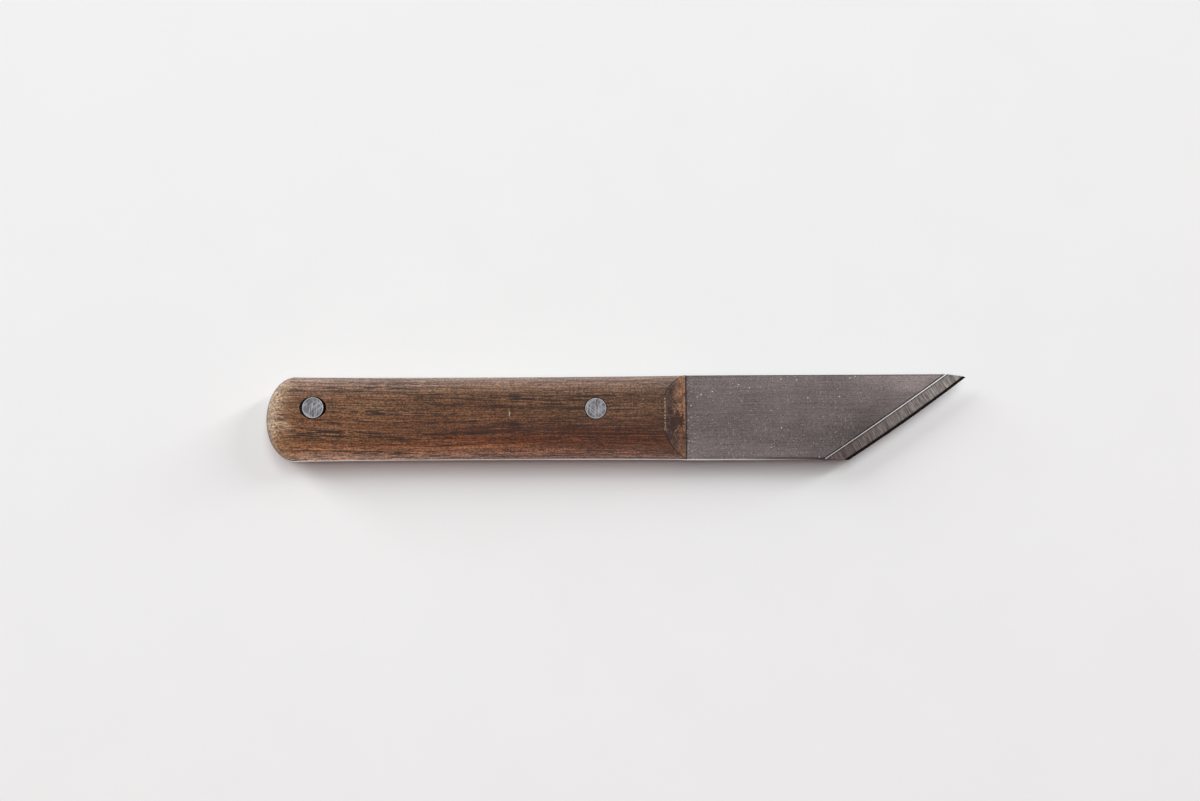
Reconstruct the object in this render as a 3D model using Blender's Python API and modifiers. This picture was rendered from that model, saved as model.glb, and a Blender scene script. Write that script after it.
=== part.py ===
"""Fixed-blade technician's knife, lying on its side.

A flat steel bar is ground to a skew edge at one end, and its full tang runs the length of the handle.
A wooden scale is bonded to each face of the tang, and two plain pins go through all three.

Metres, +Z up. X runs from the butt to the tip, Y from the heel of the edge to the spine, and Z through
the thickness. The origin is under the middle of the knife, on the surface that it lies on.
"""

import math

import bmesh
import bpy

# Blade and tang
OVERALL_LENGTH = 0.1646
HANDLE_LENGTH = 0.0983
BLADE_WIDTH = 0.020
BLADE_THICKNESS = 0.002

# Cutting edge: one bevel, ground from the upper face down to the lower one
SKEW_ANGLE = math.radians(35.0)
EDGE_BELLY = 0.00035
BEVEL_RUN = 0.00335
EDGE_BEVEL_RUN = 0.0006
EDGE_BEVEL_ANGLE = math.radians(45.0)

# Eased end of the spine, which drops to the tip
TIP_RUN = 0.0035
TIP_DROP = 0.0004

# Wooden scales
SCALE_THICKNESS = 0.0054
BUTT_WIDTH = 0.020
BUTT_DEPTH = 0.0069
BUTT_ROUND = 0.0034
FLAT_WIDTH = 0.0082
SECTION_POWER = 1.45
SHOULDER_RUN = 0.0051
SHOULDER_STEP = 0.0004

# Waist of the handle, drawn in between the shoulder and the butt
WAIST_DEPTH = 0.0003
WAIST_POWER = 0.4

# Adhesive film between a scale and the tang, and the bead squeezed out at its front
BOND_THICKNESS = 0.0001
BOND_BEAD = 0.00028

# Through pins
PIN_DIAMETER = 0.005
PIN_CHAMFER = 0.0002
REAR_PIN_FROM_BUTT = 0.0114
REAR_PIN_OFFSET = 0.0018
FRONT_PIN_FROM_SHOULDER = 0.021
FRONT_PIN_OFFSET = 0.00135

# Clearances
SEAT_GAP = 0.00002
PIN_CLEARANCE = 0.00015
CUT_MARGIN = 0.001
WELD_DISTANCE = 0.000002

# Facets of the curved stretches
SIDE_STEPS = 14
BUTT_STEPS = 24
ROUND_STEPS = 10
EDGE_STEPS = 12
TIP_STEPS = 5
PIN_SIDES = 36

# Places that follow from the sizes above
X_BUTT = -OVERALL_LENGTH / 2
X_TIP = OVERALL_LENGTH / 2
X_SHOULDER = X_BUTT + HANDLE_LENGTH
X_BUTT_CURVE = X_BUTT + BUTT_DEPTH
HALF_WIDTH = BLADE_WIDTH / 2
BOND_SPACE = BOND_THICKNESS + 2 * SEAT_GAP
Z_BLADE_LOW = SCALE_THICKNESS + BOND_SPACE
Z_BLADE_HIGH = Z_BLADE_LOW + BLADE_THICKNESS
Z_UPPER_SEAT = Z_BLADE_HIGH + BOND_SPACE
TOTAL_THICKNESS = Z_UPPER_SEAT + SCALE_THICKNESS
PIN_RADIUS = PIN_DIAMETER / 2
PIN_PLACES = {
    "rear_pin": (X_BUTT + REAR_PIN_FROM_BUTT, REAR_PIN_OFFSET),
    "front_pin": (X_SHOULDER - FRONT_PIN_FROM_SHOULDER, FRONT_PIN_OFFSET),
}


def clear_scene():
    for obj in list(bpy.data.objects):
        bpy.data.objects.remove(obj, do_unlink=True)


def new_collection(name):
    collection = bpy.data.collections.new(name)
    bpy.context.scene.collection.children.link(collection)
    return collection


def new_material(name, colour, roughness, metallic=0.0):
    material = bpy.data.materials.new(name)
    material.use_nodes = True
    shader = material.node_tree.nodes["Principled BSDF"]
    shader.inputs["Base Color"].default_value = (*colour, 1.0)
    shader.inputs["Roughness"].default_value = roughness
    shader.inputs["Metallic"].default_value = metallic
    material.diffuse_color = (*colour, 1.0)
    return material


def mesh_from(bm, name):
    """A mesh made from bm, with its faces turned outwards."""
    bmesh.ops.recalc_face_normals(bm, faces=bm.faces)
    mesh = bpy.data.meshes.new(name)
    bm.to_mesh(mesh)
    bm.free()
    return mesh


def add_part(name, mesh, material, parent, collection):
    part = bpy.data.objects.new(name, mesh)
    part.parent = parent
    if not mesh.materials:
        mesh.materials.append(material)
    collection.objects.link(part)
    return part


def as_cutter(obj, collection):
    for holder in list(obj.users_collection):
        holder.objects.unlink(obj)
    collection.objects.link(obj)
    obj.hide_render = True
    obj.display_type = "WIRE"
    return obj


def cut(part, cutter):
    modifier = part.modifiers.new(cutter.name, "BOOLEAN")
    modifier.operation = "DIFFERENCE"
    modifier.object = cutter


def plate_mesh(name, outline, thickness):
    """A flat plate of the outline, standing on z = 0: a filled curve made into a mesh."""
    curve = bpy.data.curves.new(name, "CURVE")
    curve.dimensions = "2D"
    curve.fill_mode = "BOTH"
    curve.extrude = thickness / 2
    spline = curve.splines.new("POLY")
    spline.points.add(len(outline) - 1)
    for point, (x, y) in zip(spline.points, outline):
        point.co = (x, y, 0.0, 1.0)
    spline.use_cyclic_u = True
    drawn = bpy.data.objects.new(name, curve)
    bpy.context.scene.collection.objects.link(drawn)
    graph = bpy.context.evaluated_depsgraph_get()
    flat = bpy.data.meshes.new_from_object(drawn.evaluated_get(graph))
    bpy.data.objects.remove(drawn)
    bm = bmesh.new()
    bm.from_mesh(flat)
    bpy.data.meshes.remove(flat)
    bmesh.ops.remove_doubles(bm, verts=bm.verts, dist=WELD_DISTANCE)
    bmesh.ops.translate(bm, verts=bm.verts, vec=(0.0, 0.0, thickness / 2))
    return mesh_from(bm, name)


def handle_side(drawn_in):
    """The spine side of the handle's plan, from the shoulder to where the butt starts to curve.

    It runs from the blade's width to the butt's, less a waist. drawn_in goes from 0 at the tang to 1 at
    the edge of the flat.
    """
    points = []
    for step in range(SIDE_STEPS):
        share = (1 - math.cos(math.pi * step / SIDE_STEPS)) / 2
        x = X_SHOULDER + share * (X_BUTT_CURVE - X_SHOULDER)
        taper = HALF_WIDTH + share * (BUTT_WIDTH / 2 - HALF_WIDTH)
        waist = taper - WAIST_DEPTH * math.sin(math.pi * share) ** WAIST_POWER
        points.append((x, waist + drawn_in * (FLAT_WIDTH / 2 - waist)))
    return points


def handle_outline(drawn_in=0.0):
    """Plan of the handle from the shoulder round the butt, which is half an ellipse."""
    side = handle_side(drawn_in)
    width = BUTT_WIDTH / 2 + drawn_in * (FLAT_WIDTH / 2 - BUTT_WIDTH / 2)
    depth = BUTT_DEPTH - drawn_in * BUTT_ROUND
    turns = [math.pi * step / BUTT_STEPS for step in range(BUTT_STEPS + 1)]
    butt = [(X_BUTT_CURVE - depth * math.sin(turn), width * math.cos(turn)) for turn in turns]
    return [*side, *butt, *((x, -y) for x, y in reversed(side))]


def scale_mesh():
    """A scale with its bonded face on z = 0: handle outlines lofted up to the flat and cut at the shoulder.

    The outlines draw in along a superellipse, so the flat rounds over into the sides and the butt.
    """
    bm = bmesh.new()
    rings = []
    for step in range(ROUND_STEPS + 1):
        angle = math.pi / 2 * step / ROUND_STEPS
        drawn_in = 1.0 - math.cos(angle) ** (2 / SECTION_POWER)
        height = SCALE_THICKNESS * math.sin(angle) ** (2 / SECTION_POWER)
        rings.append([bm.verts.new((x, y, height)) for x, y in handle_outline(drawn_in)])
    bm.faces.new(rings[0])
    bm.faces.new(rings[-1])
    for lower, upper in zip(rings, rings[1:]):
        for index in range(len(lower)):
            bm.faces.new((lower[index - 1], lower[index], upper[index], upper[index - 1]))
    rise = SCALE_THICKNESS - SHOULDER_STEP
    trimmed = bmesh.ops.bisect_plane(
        bm,
        geom=[*bm.verts, *bm.edges, *bm.faces],
        plane_co=(X_SHOULDER, 0.0, SHOULDER_STEP),
        plane_no=(rise, 0.0, SHOULDER_RUN),
        clear_outer=True,
    )
    rim = [item for item in trimmed["geom_cut"] if isinstance(item, bmesh.types.BMEdge)]
    bmesh.ops.edgeloop_fill(bm, edges=rim)
    mesh = mesh_from(bm, "scale")
    mesh.shade_smooth()
    mesh.set_sharp_from_angle(angle=math.radians(30))
    return mesh


def eased_spine():
    """The end of the spine, from past the tip back to where it starts to drop."""
    points = []
    for step in range(TIP_STEPS + 1):
        run = (TIP_RUN + CUT_MARGIN) * (1 - step / TIP_STEPS)
        points.append((X_TIP - TIP_RUN + run, HALF_WIDTH - TIP_DROP * (run / TIP_RUN) ** 2))
    return points


def blade_mesh():
    """The bar with its tang outline, left long past the tip for the edge to be ground."""
    outline = [*eased_spine(), *handle_outline(), (X_TIP + CUT_MARGIN, -HALF_WIDTH)]
    return plate_mesh("blade", outline, BLADE_THICKNESS)


def bond_mesh():
    """The film that bonds a scale: its outline, and a bead that stands out at the shoulder."""
    front = X_SHOULDER + BOND_BEAD
    outline = [(front, HALF_WIDTH), *handle_outline(), (front, -HALF_WIDTH)]
    return plate_mesh("bond", outline, BOND_THICKNESS)


def edge_cutter():
    """What the grinding takes off the bar: a section of bevel and edge bevel, swept along the bellied edge.

    The section is drawn by its distance from the centre of the belly's arc, and by its height.
    """
    edge_width = BLADE_WIDTH - TIP_DROP
    chord = edge_width / math.sin(SKEW_ANGLE)
    radius = chord**2 / (8 * EDGE_BELLY) + EDGE_BELLY / 2
    heel_back = edge_width / math.tan(SKEW_ANGLE)
    middle = (X_TIP - heel_back / 2, -TIP_DROP / 2)
    outward = (math.sin(SKEW_ANGLE), -math.cos(SKEW_ANGLE))
    centre = [m - (radius - EDGE_BELLY) * o for m, o in zip(middle, outward)]

    edge_rise = EDGE_BEVEL_RUN * math.tan(EDGE_BEVEL_ANGLE)
    bevel_slope = (BEVEL_RUN - EDGE_BEVEL_RUN) / (BLADE_THICKNESS - edge_rise)
    below = CUT_MARGIN / math.tan(EDGE_BEVEL_ANGLE)
    far = radius + heel_back
    section = [
        (radius + below, Z_BLADE_LOW - CUT_MARGIN),
        (radius - EDGE_BEVEL_RUN, Z_BLADE_LOW + edge_rise),
        (radius - BEVEL_RUN - CUT_MARGIN * bevel_slope, Z_BLADE_HIGH + CUT_MARGIN),
        (far, Z_BLADE_HIGH + CUT_MARGIN),
        (far, Z_BLADE_LOW - CUT_MARGIN),
    ]

    sweep = 2 * math.asin(chord / (2 * radius)) + 2 * heel_back / radius
    bm = bmesh.new()
    face = bm.faces.new([bm.verts.new((out, 0.0, height)) for out, height in section])
    bmesh.ops.spin(
        bm,
        geom=[*bm.verts, *bm.edges, face],
        axis=(0.0, 0.0, 1.0),
        cent=(0.0, 0.0, 0.0),
        angle=sweep,
        steps=EDGE_STEPS,
    )
    cutter = bpy.data.objects.new("edge_cutter", mesh_from(bm, "edge_cutter"))
    cutter.location = (*centre, 0.0)
    cutter.rotation_euler.z = SKEW_ANGLE - math.pi / 2 - sweep / 2
    bpy.context.scene.collection.objects.link(cutter)
    return cutter


def pin_cutter(name, place):
    bpy.ops.mesh.primitive_cylinder_add(
        vertices=PIN_SIDES,
        radius=PIN_RADIUS + PIN_CLEARANCE,
        depth=TOTAL_THICKNESS + 2 * CUT_MARGIN,
        location=(*place, TOTAL_THICKNESS / 2),
    )
    cutter = bpy.context.object
    cutter.name = name
    return cutter


def pin_mesh():
    """Half the section of a pin, from the middle of its top to the middle of its foot, to be turned."""
    rim = PIN_RADIUS - PIN_CHAMFER
    profile = [
        (0.0, TOTAL_THICKNESS),
        (rim, TOTAL_THICKNESS),
        (PIN_RADIUS, TOTAL_THICKNESS - PIN_CHAMFER),
        (PIN_RADIUS, PIN_CHAMFER),
        (rim, 0.0),
        (0.0, 0.0),
    ]
    bm = bmesh.new()
    points = [bm.verts.new((out, 0.0, height)) for out, height in profile]
    for start, end in zip(points, points[1:]):
        bm.edges.new((start, end))
    mesh = bpy.data.meshes.new("pin")
    bm.to_mesh(mesh)
    bm.free()
    return mesh


def turn(part):
    modifier = part.modifiers.new("turned", "SCREW")
    modifier.axis = "Z"
    modifier.steps = PIN_SIDES
    modifier.render_steps = PIN_SIDES
    modifier.use_merge_vertices = True
    modifier.merge_threshold = SEAT_GAP


def main():
    clear_scene()
    parts = new_collection("technician_knife")
    cutters = new_collection("cutters")
    knife = bpy.data.objects.new("knife", None)
    parts.objects.link(knife)

    steel = new_material("blade_steel", (0.195, 0.165, 0.16), 0.45, metallic=1.0)
    walnut = new_material("walnut", (0.14, 0.07, 0.045), 0.55)
    aluminium = new_material("pin_aluminium", (0.29, 0.285, 0.3), 0.46, metallic=1.0)
    adhesive = new_material("adhesive", (0.03, 0.015, 0.01), 0.4)

    blade = add_part("blade", blade_mesh(), steel, knife, parts)
    blade.location.z = Z_BLADE_LOW
    cut(blade, as_cutter(edge_cutter(), cutters))

    scale = scale_mesh()
    upper_scale = add_part("upper_scale", scale, walnut, knife, parts)
    upper_scale.location.z = Z_UPPER_SEAT
    lower_scale = add_part("lower_scale", scale, walnut, knife, parts)
    lower_scale.location.z = SCALE_THICKNESS
    lower_scale.rotation_euler.x = math.pi

    bond = bond_mesh()
    upper_bond = add_part("upper_bond", bond, adhesive, knife, parts)
    upper_bond.location.z = Z_BLADE_HIGH + SEAT_GAP
    lower_bond = add_part("lower_bond", bond, adhesive, knife, parts)
    lower_bond.location.z = SCALE_THICKNESS + SEAT_GAP

    pin_shape = pin_mesh()
    for name, place in PIN_PLACES.items():
        pin = add_part(name, pin_shape, aluminium, knife, parts)
        pin.location = (*place, 0.0)
        turn(pin)
        bore = as_cutter(pin_cutter(name + "_bore", place), cutters)
        for part in (blade, upper_scale, lower_scale, upper_bond, lower_bond):
            cut(part, bore)


main()
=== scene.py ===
"""Looks of the technician's knife: walnut scales, a dark steel blade with a skew bevel, and aluminium pins.

Metres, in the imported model's frame: +X to the tip, +Y to the spine, +Z up. Materials work in millimetres.
"""

import math

import bmesh
import bpy
from mathutils import Matrix, Quaternion, Vector, noise


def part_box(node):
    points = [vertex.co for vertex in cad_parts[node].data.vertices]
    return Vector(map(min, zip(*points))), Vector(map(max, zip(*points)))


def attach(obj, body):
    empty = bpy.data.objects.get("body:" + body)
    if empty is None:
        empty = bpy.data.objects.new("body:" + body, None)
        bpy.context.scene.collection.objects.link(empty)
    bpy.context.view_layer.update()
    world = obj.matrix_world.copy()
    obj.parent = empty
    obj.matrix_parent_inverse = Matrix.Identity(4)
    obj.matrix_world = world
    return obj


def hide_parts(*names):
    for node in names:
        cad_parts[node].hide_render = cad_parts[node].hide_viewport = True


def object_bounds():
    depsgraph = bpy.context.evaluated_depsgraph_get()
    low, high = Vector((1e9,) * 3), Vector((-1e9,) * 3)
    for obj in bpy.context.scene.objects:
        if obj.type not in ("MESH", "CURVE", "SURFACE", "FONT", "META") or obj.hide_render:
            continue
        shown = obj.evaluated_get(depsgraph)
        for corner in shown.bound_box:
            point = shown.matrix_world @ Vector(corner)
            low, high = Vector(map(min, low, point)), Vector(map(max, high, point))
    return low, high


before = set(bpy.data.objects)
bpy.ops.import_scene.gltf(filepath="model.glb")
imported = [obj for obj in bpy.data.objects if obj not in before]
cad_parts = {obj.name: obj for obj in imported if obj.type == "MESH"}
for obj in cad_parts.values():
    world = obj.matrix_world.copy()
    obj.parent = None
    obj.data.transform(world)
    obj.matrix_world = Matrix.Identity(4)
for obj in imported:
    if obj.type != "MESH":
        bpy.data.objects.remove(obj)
CAD_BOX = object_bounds()

# Millimetres in a metre
MM = 1000.0

# Sizes that the frame gives
BLADE_LOW, BLADE_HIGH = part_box("blade")
SCALE_LOW, SCALE_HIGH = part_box("upper_scale")
LOWER_SCALE_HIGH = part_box("lower_scale")[1]
X_BUTT = SCALE_LOW.x
X_SHOULDER = SCALE_HIGH.x
X_TIP = BLADE_HIGH.x
HALF_WIDTH = BLADE_HIGH.y
SCALE_THICKNESS = SCALE_HIGH.z - SCALE_LOW.z
KNIFE_MIDDLE = Vector((0.0, 0.0, (BLADE_LOW.z + BLADE_HIGH.z) / 2))
CUTTER_LENGTH = 2 * (CAD_BOX[1].z - CAD_BOX[0].z)

# Forms of the handle, as in the solids, but for the shoulder, which is a little steeper here
BUTT_WIDTH = 0.020
BUTT_DEPTH = 0.0069
BUTT_ROUND = 0.0034
FLAT_WIDTH = 0.0082
SECTION_POWER = 1.45
SHOULDER_RUN = 0.0047
SHOULDER_STEP = 0.0004
WAIST_DEPTH = 0.0003
WAIST_POWER = 0.4
X_BUTT_CURVE = X_BUTT + BUTT_DEPTH

# Depth below the sloping shoulder in millimetres, from x, the height above the bonded face and 1
SLOPE_ANGLE = math.atan2(SCALE_THICKNESS - SHOULDER_STEP, SHOULDER_RUN)
SLOPE_PLANE = (
    -math.sin(SLOPE_ANGLE),
    -math.cos(SLOPE_ANGLE),
    MM * (X_SHOULDER * math.sin(SLOPE_ANGLE) + SHOULDER_STEP * math.cos(SLOPE_ANGLE)),
)

# Forms of the edge, as in the solids, but for the ridge, which bows less here
SKEW_ANGLE = math.radians(35.0)
EDGE_BELLY = 0.00035
RIDGE_BELLY = 0.00015
BEVEL_RUN = 0.00335
EDGE_BEVEL_RUN = 0.0006
EDGE_BEVEL_RISE = 0.0006
TIP_RUN = 0.0035
TIP_DROP = 0.0004
EDGE_CHORD = (2 * HALF_WIDTH - TIP_DROP) / math.sin(SKEW_ANGLE)
EDGE_OUTWARD = Vector((math.sin(SKEW_ANGLE), -math.cos(SKEW_ANGLE)))
EDGE_ALONG = Vector((math.cos(SKEW_ANGLE), math.sin(SKEW_ANGLE)))
EDGE_MIDDLE = Vector((X_TIP, HALF_WIDTH - TIP_DROP)) - EDGE_ALONG * EDGE_CHORD / 2

# Fineness of the meshes
SIDE_STEPS = 110
BUTT_STEPS = 20
ROUND_STEPS = 22
ACROSS_STEPS = 24
EDGE_STEPS = 40
BEAD_STEPS = 96
PIN_SIDES = 64
CROWN_STEPS = 8
RIM_STEPS = 4
ARRIS_STEPS = 2
SPINE_TRIES = 12

# Angles in degrees: surfaces are shaded smooth up to the first two, and the wood is rounded from the third on
SMOOTH_ANGLE = 40.0
BLADE_SMOOTH_ANGLE = 12.0
WOOD_ARRIS_ANGLE = 25.0

# Sizes of the finish
ARRIS = 0.00012
RIDGE_WIDTH = 0.0002
WOOD_ARRIS = 0.00014
HAND_WAVE = 0.00006
HAND_WAVE_LENGTH = 0.012
PIN_RIM = 0.00018
REAR_PIN_CROWN = 0.00002
FRONT_PIN_CROWN = 0.00012
BORE_GAP = 0.0001
WOOD_BORE_GAP = 0.00012
WORN_BORE = 0.00055

# Depths of the relief in the materials
WOOD_RELIEF = 0.00005
FLAT_RELIEF = 0.000006
GROUND_RELIEF = 0.000008
PIN_RELIEF = 0.00001

# The glue bead: its least reach and its swell as shares of its room, and its waves a metre, across and up
BEAD_LEAST = 0.7
BEAD_SWELL = 0.3
BEAD_WAVES = 900.0
BEAD_LEVELS = 5000.0

# The grain: its start in each scale, its sway in millimetres, and its lean at the butt, which falls off
UPPER_GRAIN = 3.0
LOWER_GRAIN = 57.0
GRAIN_SWAY = 2.4
GRAIN_LEAN = 0.036
GRAIN_LEAN_FALL = -0.00022

# Places in millimetres where the finish changes along the knife, across the wood and on the stained shoulder
GOLDEN_X = (-28.0, -70.0)
FADED_X = (-32.0, -62.0)
GREYED_X = (-30.0, 16.0)
REDDER_X = -10.0
NICK_X = -25.1
ARRIS_SHADE_X = (27.0, 38.0)
RUBBED_TO_X = 36.0
DARK_HEEL_X = (42.0, 49.0)
ZONES_ACROSS = (-10.0, 10.0)
FADED_ACROSS = 1.4
STAIN_ACROSS = -1.2
STAIN_HEIGHT = 2.6
STAIN_REACH = (3.4, 2.2)
TORN_SETBACK = 0.12

# Directions of the scratches on the pins, in radians, how far their noise shifts with the turn, and the
# direction of the scuffs on the blade
SCRATCH_TURNS = (0.7, 1.5, 2.4)
SCRATCH_SHIFT = 9.0
SCUFF_DIRECTION = (0.35, 0.94, 0.0)

# The range that noise mostly keeps to, and the share of a spot that is full, inside its soft rim
NOISE_RANGE = (0.2, 0.8)
SPOT_CORE = 0.7

# The photograph's view: its frame in pixels, where the middle of the knife is in it, and the scale there
PHOTO_WIDTH, PHOTO_HEIGHT = 1200, 801
KNIFE_PIXEL = Vector((617.05, 418.45))
PIXELS_PER_METRE = 4250.0
CAMERA_ELEVATION = math.radians(80.0)
CAMERA_ROLL = math.radians(-0.28)
CAMERA_LENS = 80.0

# Studio: soft boxes overhead and behind the knife on both sides. Each has its power in watts, its width and
# height, and the azimuth from +X and the elevation of its place in degrees
LAMP_DISTANCE = 1.8
LAMP_COLOUR = (0.92, 1.0, 1.0)
LAMPS = (
    ("overhead_box", 17.7, 0.55, 1.28, 74.0, 85.5),
    ("right_box", 12.4, 0.17, 1.31, 28.0, 31.0),
    ("left_box", 23.6, 0.74, 1.65, 148.0, 25.7),
)
FLOOR_REACH = 4.0

# Dim light from all round, and the background that the camera and reflections see
SHADE_COLOUR = (0.1, 0.021, 0.02)
BACKDROP_COLOUR = (0.86, 0.86, 0.86)


def srgb(red, green, blue):
    """A colour given as it looks on screen, 0 to 255, as a linear one."""
    shares = [value / 255 for value in (red, green, blue)]
    linear = [v / 12.92 if v <= 0.04045 else ((v + 0.055) / 1.055) ** 2.4 for v in shares]
    return (*linear, 1.0)


# Colours of the wood. The zones have their places from the edge side of the handle, 0, to its spine side, 1
# The palest zones, at both ends, colour the rounded sides: partly the wood's own tone, partly painted sheen
WOOD_ZONES = (
    (0.02, srgb(206, 156, 130)),
    (0.10, srgb(166, 112, 80)),
    (0.19, srgb(126, 72, 42)),
    (0.31, srgb(82, 47, 32)),
    (0.48, srgb(104, 69, 47)),
    (0.66, srgb(98, 67, 47)),
    (0.80, srgb(115, 85, 67)),
    (0.95, srgb(150, 121, 106)),
)
GOLDEN_WOOD = srgb(116, 82, 56)
FADED_WOOD = srgb(124, 92, 68)
GREYED_WOOD = srgb(86, 69, 59)
PALE_FIBRES = srgb(150, 124, 106)
DARK_PORES = srgb(30, 21, 22)
PALE_FLECKS = srgb(176, 146, 116)
# The end grain's pale tan is partly its own tone and partly a painted highlight
DARK_END_GRAIN = srgb(138, 109, 86)
PALE_END_GRAIN_AND_HIGHLIGHT = srgb(224, 194, 162)
CUT_PORES = srgb(76, 55, 44)
BUTT_RIM = srgb(84, 68, 58)
SHOULDER_RIM = srgb(84, 63, 54)
SHOULDER_FOOT = (srgb(118, 85, 66), srgb(152, 112, 86))
STAIN = srgb(52, 30, 24)
CREASE = srgb(34, 24, 23)
TORN_WOOD = srgb(186, 164, 142)
BARE_NICK = srgb(206, 182, 150)

# Tints that multiply a colour: none, and on the edge side the wood's at the butt, the wood's further on and
# the end grain's
NO_TINT = (1.0, 1.0, 1.0, 1.0)
PALE_TINT = (1.06, 1.16, 1.14, 1.0)
RED_TINT = (0.8, 0.71, 0.67, 1.0)
BROWN_TINT = (0.7, 0.52, 0.36, 1.0)

# Colours of the blade's flats and sides
FLAT_STEEL = srgb(122, 112, 111)
RIDGE_SHADOW = srgb(40, 35, 36)
SPECKS = srgb(204, 198, 190)
SPARKS = srgb(226, 220, 210)
SCRATCHES = srgb(172, 167, 162)
CRUMBS = srgb(182, 172, 160)
PITS = srgb(70, 62, 62)
GLUE_AND_SHADOW_LINE = srgb(44, 31, 28)
ARRIS_SHADE = srgb(38, 33, 33)
# The sides: steel darkened as painted shade, and a near-white painted highlight along their top
PLAIN_SIDE = srgb(150, 144, 141)
SIDE_HIGHLIGHT = srgb(244, 240, 236)
DARK_SIDE = srgb(112, 102, 99)
# A painted shade for the heel
DARK_HEEL = srgb(34, 28, 29)

# Ground steel: its colours at the heel and at the tip, its roughness and the contrast of its lines
GROUND_BEVEL = (srgb(104, 93, 91), srgb(148, 141, 136), 0.4, 0.48)
# The ridge's near-white colours are partly polished steel and partly a painted highlight
BRIGHT_RIDGE = (srgb(190, 186, 185), srgb(255, 255, 255), 0.3, 0.1)
# The honed edge's near-black colours are a painted dark reflection
HONED_EDGE = (srgb(30, 24, 25), srgb(26, 22, 23), 0.25, 0.2)
# Painted shade for the bevel beside the ridge and towards the edge
GROUND_PAINTED_SHADE = srgb(32, 27, 28)

# Colours of the pins, the glue and the floor
PIN_METAL = srgb(142, 141, 145)
PIN_RIM_HIGHLIGHT = srgb(226, 226, 229)
GLUE_DUST = ((0.4, srgb(26, 17, 15)), (0.75, srgb(60, 42, 34)))
FLOOR_CARD = (srgb(239, 238, 238), srgb(242, 241, 241))

# Places of the blade's finishes in its list of materials
FLAT, SIDE, BEVEL, RIDGE, EDGE = range(5)


class Finish:
    """A material, with short ways to add the nodes that the finishes here are made of."""

    def __init__(self, name, seed=0.0):
        self.material = bpy.data.materials.new(name)
        self.material.use_nodes = True
        self.tree = self.material.node_tree
        self.shader = self.tree.nodes["Principled BSDF"]
        where = self.add("ShaderNodeTexCoord").outputs["Object"]
        self.place = self.vector("SCALE", where, scale=MM)
        self.seed = seed

    def add(self, kind, inputs=None, **settings):
        node = self.tree.nodes.new(kind)
        for key, value in settings.items():
            setattr(node, key, value)
        for key, value in (inputs or {}).items():
            self.plug(node.inputs[key], value)
        return node

    def plug(self, socket, value):
        if isinstance(value, bpy.types.NodeSocket):
            self.tree.links.new(value, socket)
        else:
            socket.default_value = value

    def set(self, name, value):
        self.plug(self.shader.inputs[name], value)

    def math(self, operation, *values):
        return self.add("ShaderNodeMath", dict(enumerate(values)), operation=operation).outputs[0]

    def times(self, product, *values):
        """All the values multiplied."""
        for value in values:
            product = self.math("MULTIPLY", product, value)
        return product

    def vector(self, operation, *values, scale=None):
        node = self.add("ShaderNodeVectorMath", dict(enumerate(values)), operation=operation)
        if scale is not None:
            self.plug(node.inputs["Scale"], scale)
        return node.outputs["Value" if operation in ("DOT_PRODUCT", "LENGTH") else "Vector"]

    def split(self, vector):
        return self.add("ShaderNodeSeparateXYZ", {0: vector}).outputs

    def join(self, x, y, z):
        return self.add("ShaderNodeCombineXYZ", {0: x, 1: y, 2: z}).outputs[0]

    def line(self, value, low, high, to_low=0.0, to_high=1.0, kind="LINEAR"):
        """Goes evenly from to_low to to_high as value goes from low to high."""
        inputs = {0: value, 1: low, 2: high, 3: to_low, 4: to_high}
        return self.add("ShaderNodeMapRange", inputs, interpolation_type=kind).outputs[0]

    def between(self, value, low, high, to_low=0.0, to_high=1.0):
        """As line, but with soft ends."""
        return self.line(value, low, high, to_low, to_high, "SMOOTHSTEP")

    def stretch(self, per_mm, where, shift):
        """Places for a pattern with per_mm features a millimetre along each axis, moved by the shift."""
        moved = self.vector("ADD", where or self.place, (self.seed + shift,) * 3)
        return self.vector("MULTIPLY", moved, per_mm)

    def noise(self, per_mm, detail=2.0, rough=0.5, where=None, shift=0.0):
        """Noise from 0 to 1, with per_mm features a millimetre along each axis."""
        places = self.stretch(per_mm, where, shift)
        inputs = {"Vector": places, "Scale": 1.0, "Detail": detail, "Roughness": rough}
        return self.add("ShaderNodeTexNoise", inputs).outputs[0]

    def uneven(self, value, reach):
        """Noise turned into a distance, from -reach to reach."""
        return self.line(value, *NOISE_RANGE, -reach, reach)

    def spots(self, per_mm, size, share, where=None, shift=0.0):
        """1 in spots of a size, counted in cells, in a share of the cells, and 0 outside them."""
        places = self.stretch(per_mm, where, shift)
        cells = self.add("ShaderNodeTexVoronoi", {"Vector": places, "Scale": 1.0})
        inside = self.between(cells.outputs["Distance"], size, size * SPOT_CORE)
        chosen = self.math("LESS_THAN", self.split(cells.outputs["Color"])[0], share)
        return self.times(inside, chosen)

    def mix(self, factor, first, second, blend="MIX"):
        inputs = {0: factor, 6: first, 7: second}
        node = self.add("ShaderNodeMix", inputs, data_type="RGBA", blend_type=blend)
        return node.outputs[2]

    def lay(self, colour, cover, strength, second):
        """The colour with a second one laid over it where cover is 1, as strongly as strength says."""
        return self.mix(self.times(cover, strength), colour, second)

    def shade(self, colour, amount):
        """The colour times a grey amount."""
        return self.mix(1.0, colour, amount, "MULTIPLY")

    def ramp(self, value, stops):
        node = self.add("ShaderNodeValToRGB", {0: value})
        elements = node.color_ramp.elements
        while len(elements) < len(stops):
            elements.new(0.5)
        for element, (place, colour) in zip(elements, stops):
            element.position = place
            element.color = colour
        return node.outputs[0]

    def bump(self, height, depth, strength):
        """Relief in metres from a height of 0 to 1."""
        inputs = {"Height": height, "Distance": depth, "Strength": strength}
        self.set("Normal", self.add("ShaderNodeBump", inputs).outputs[0])


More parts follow.
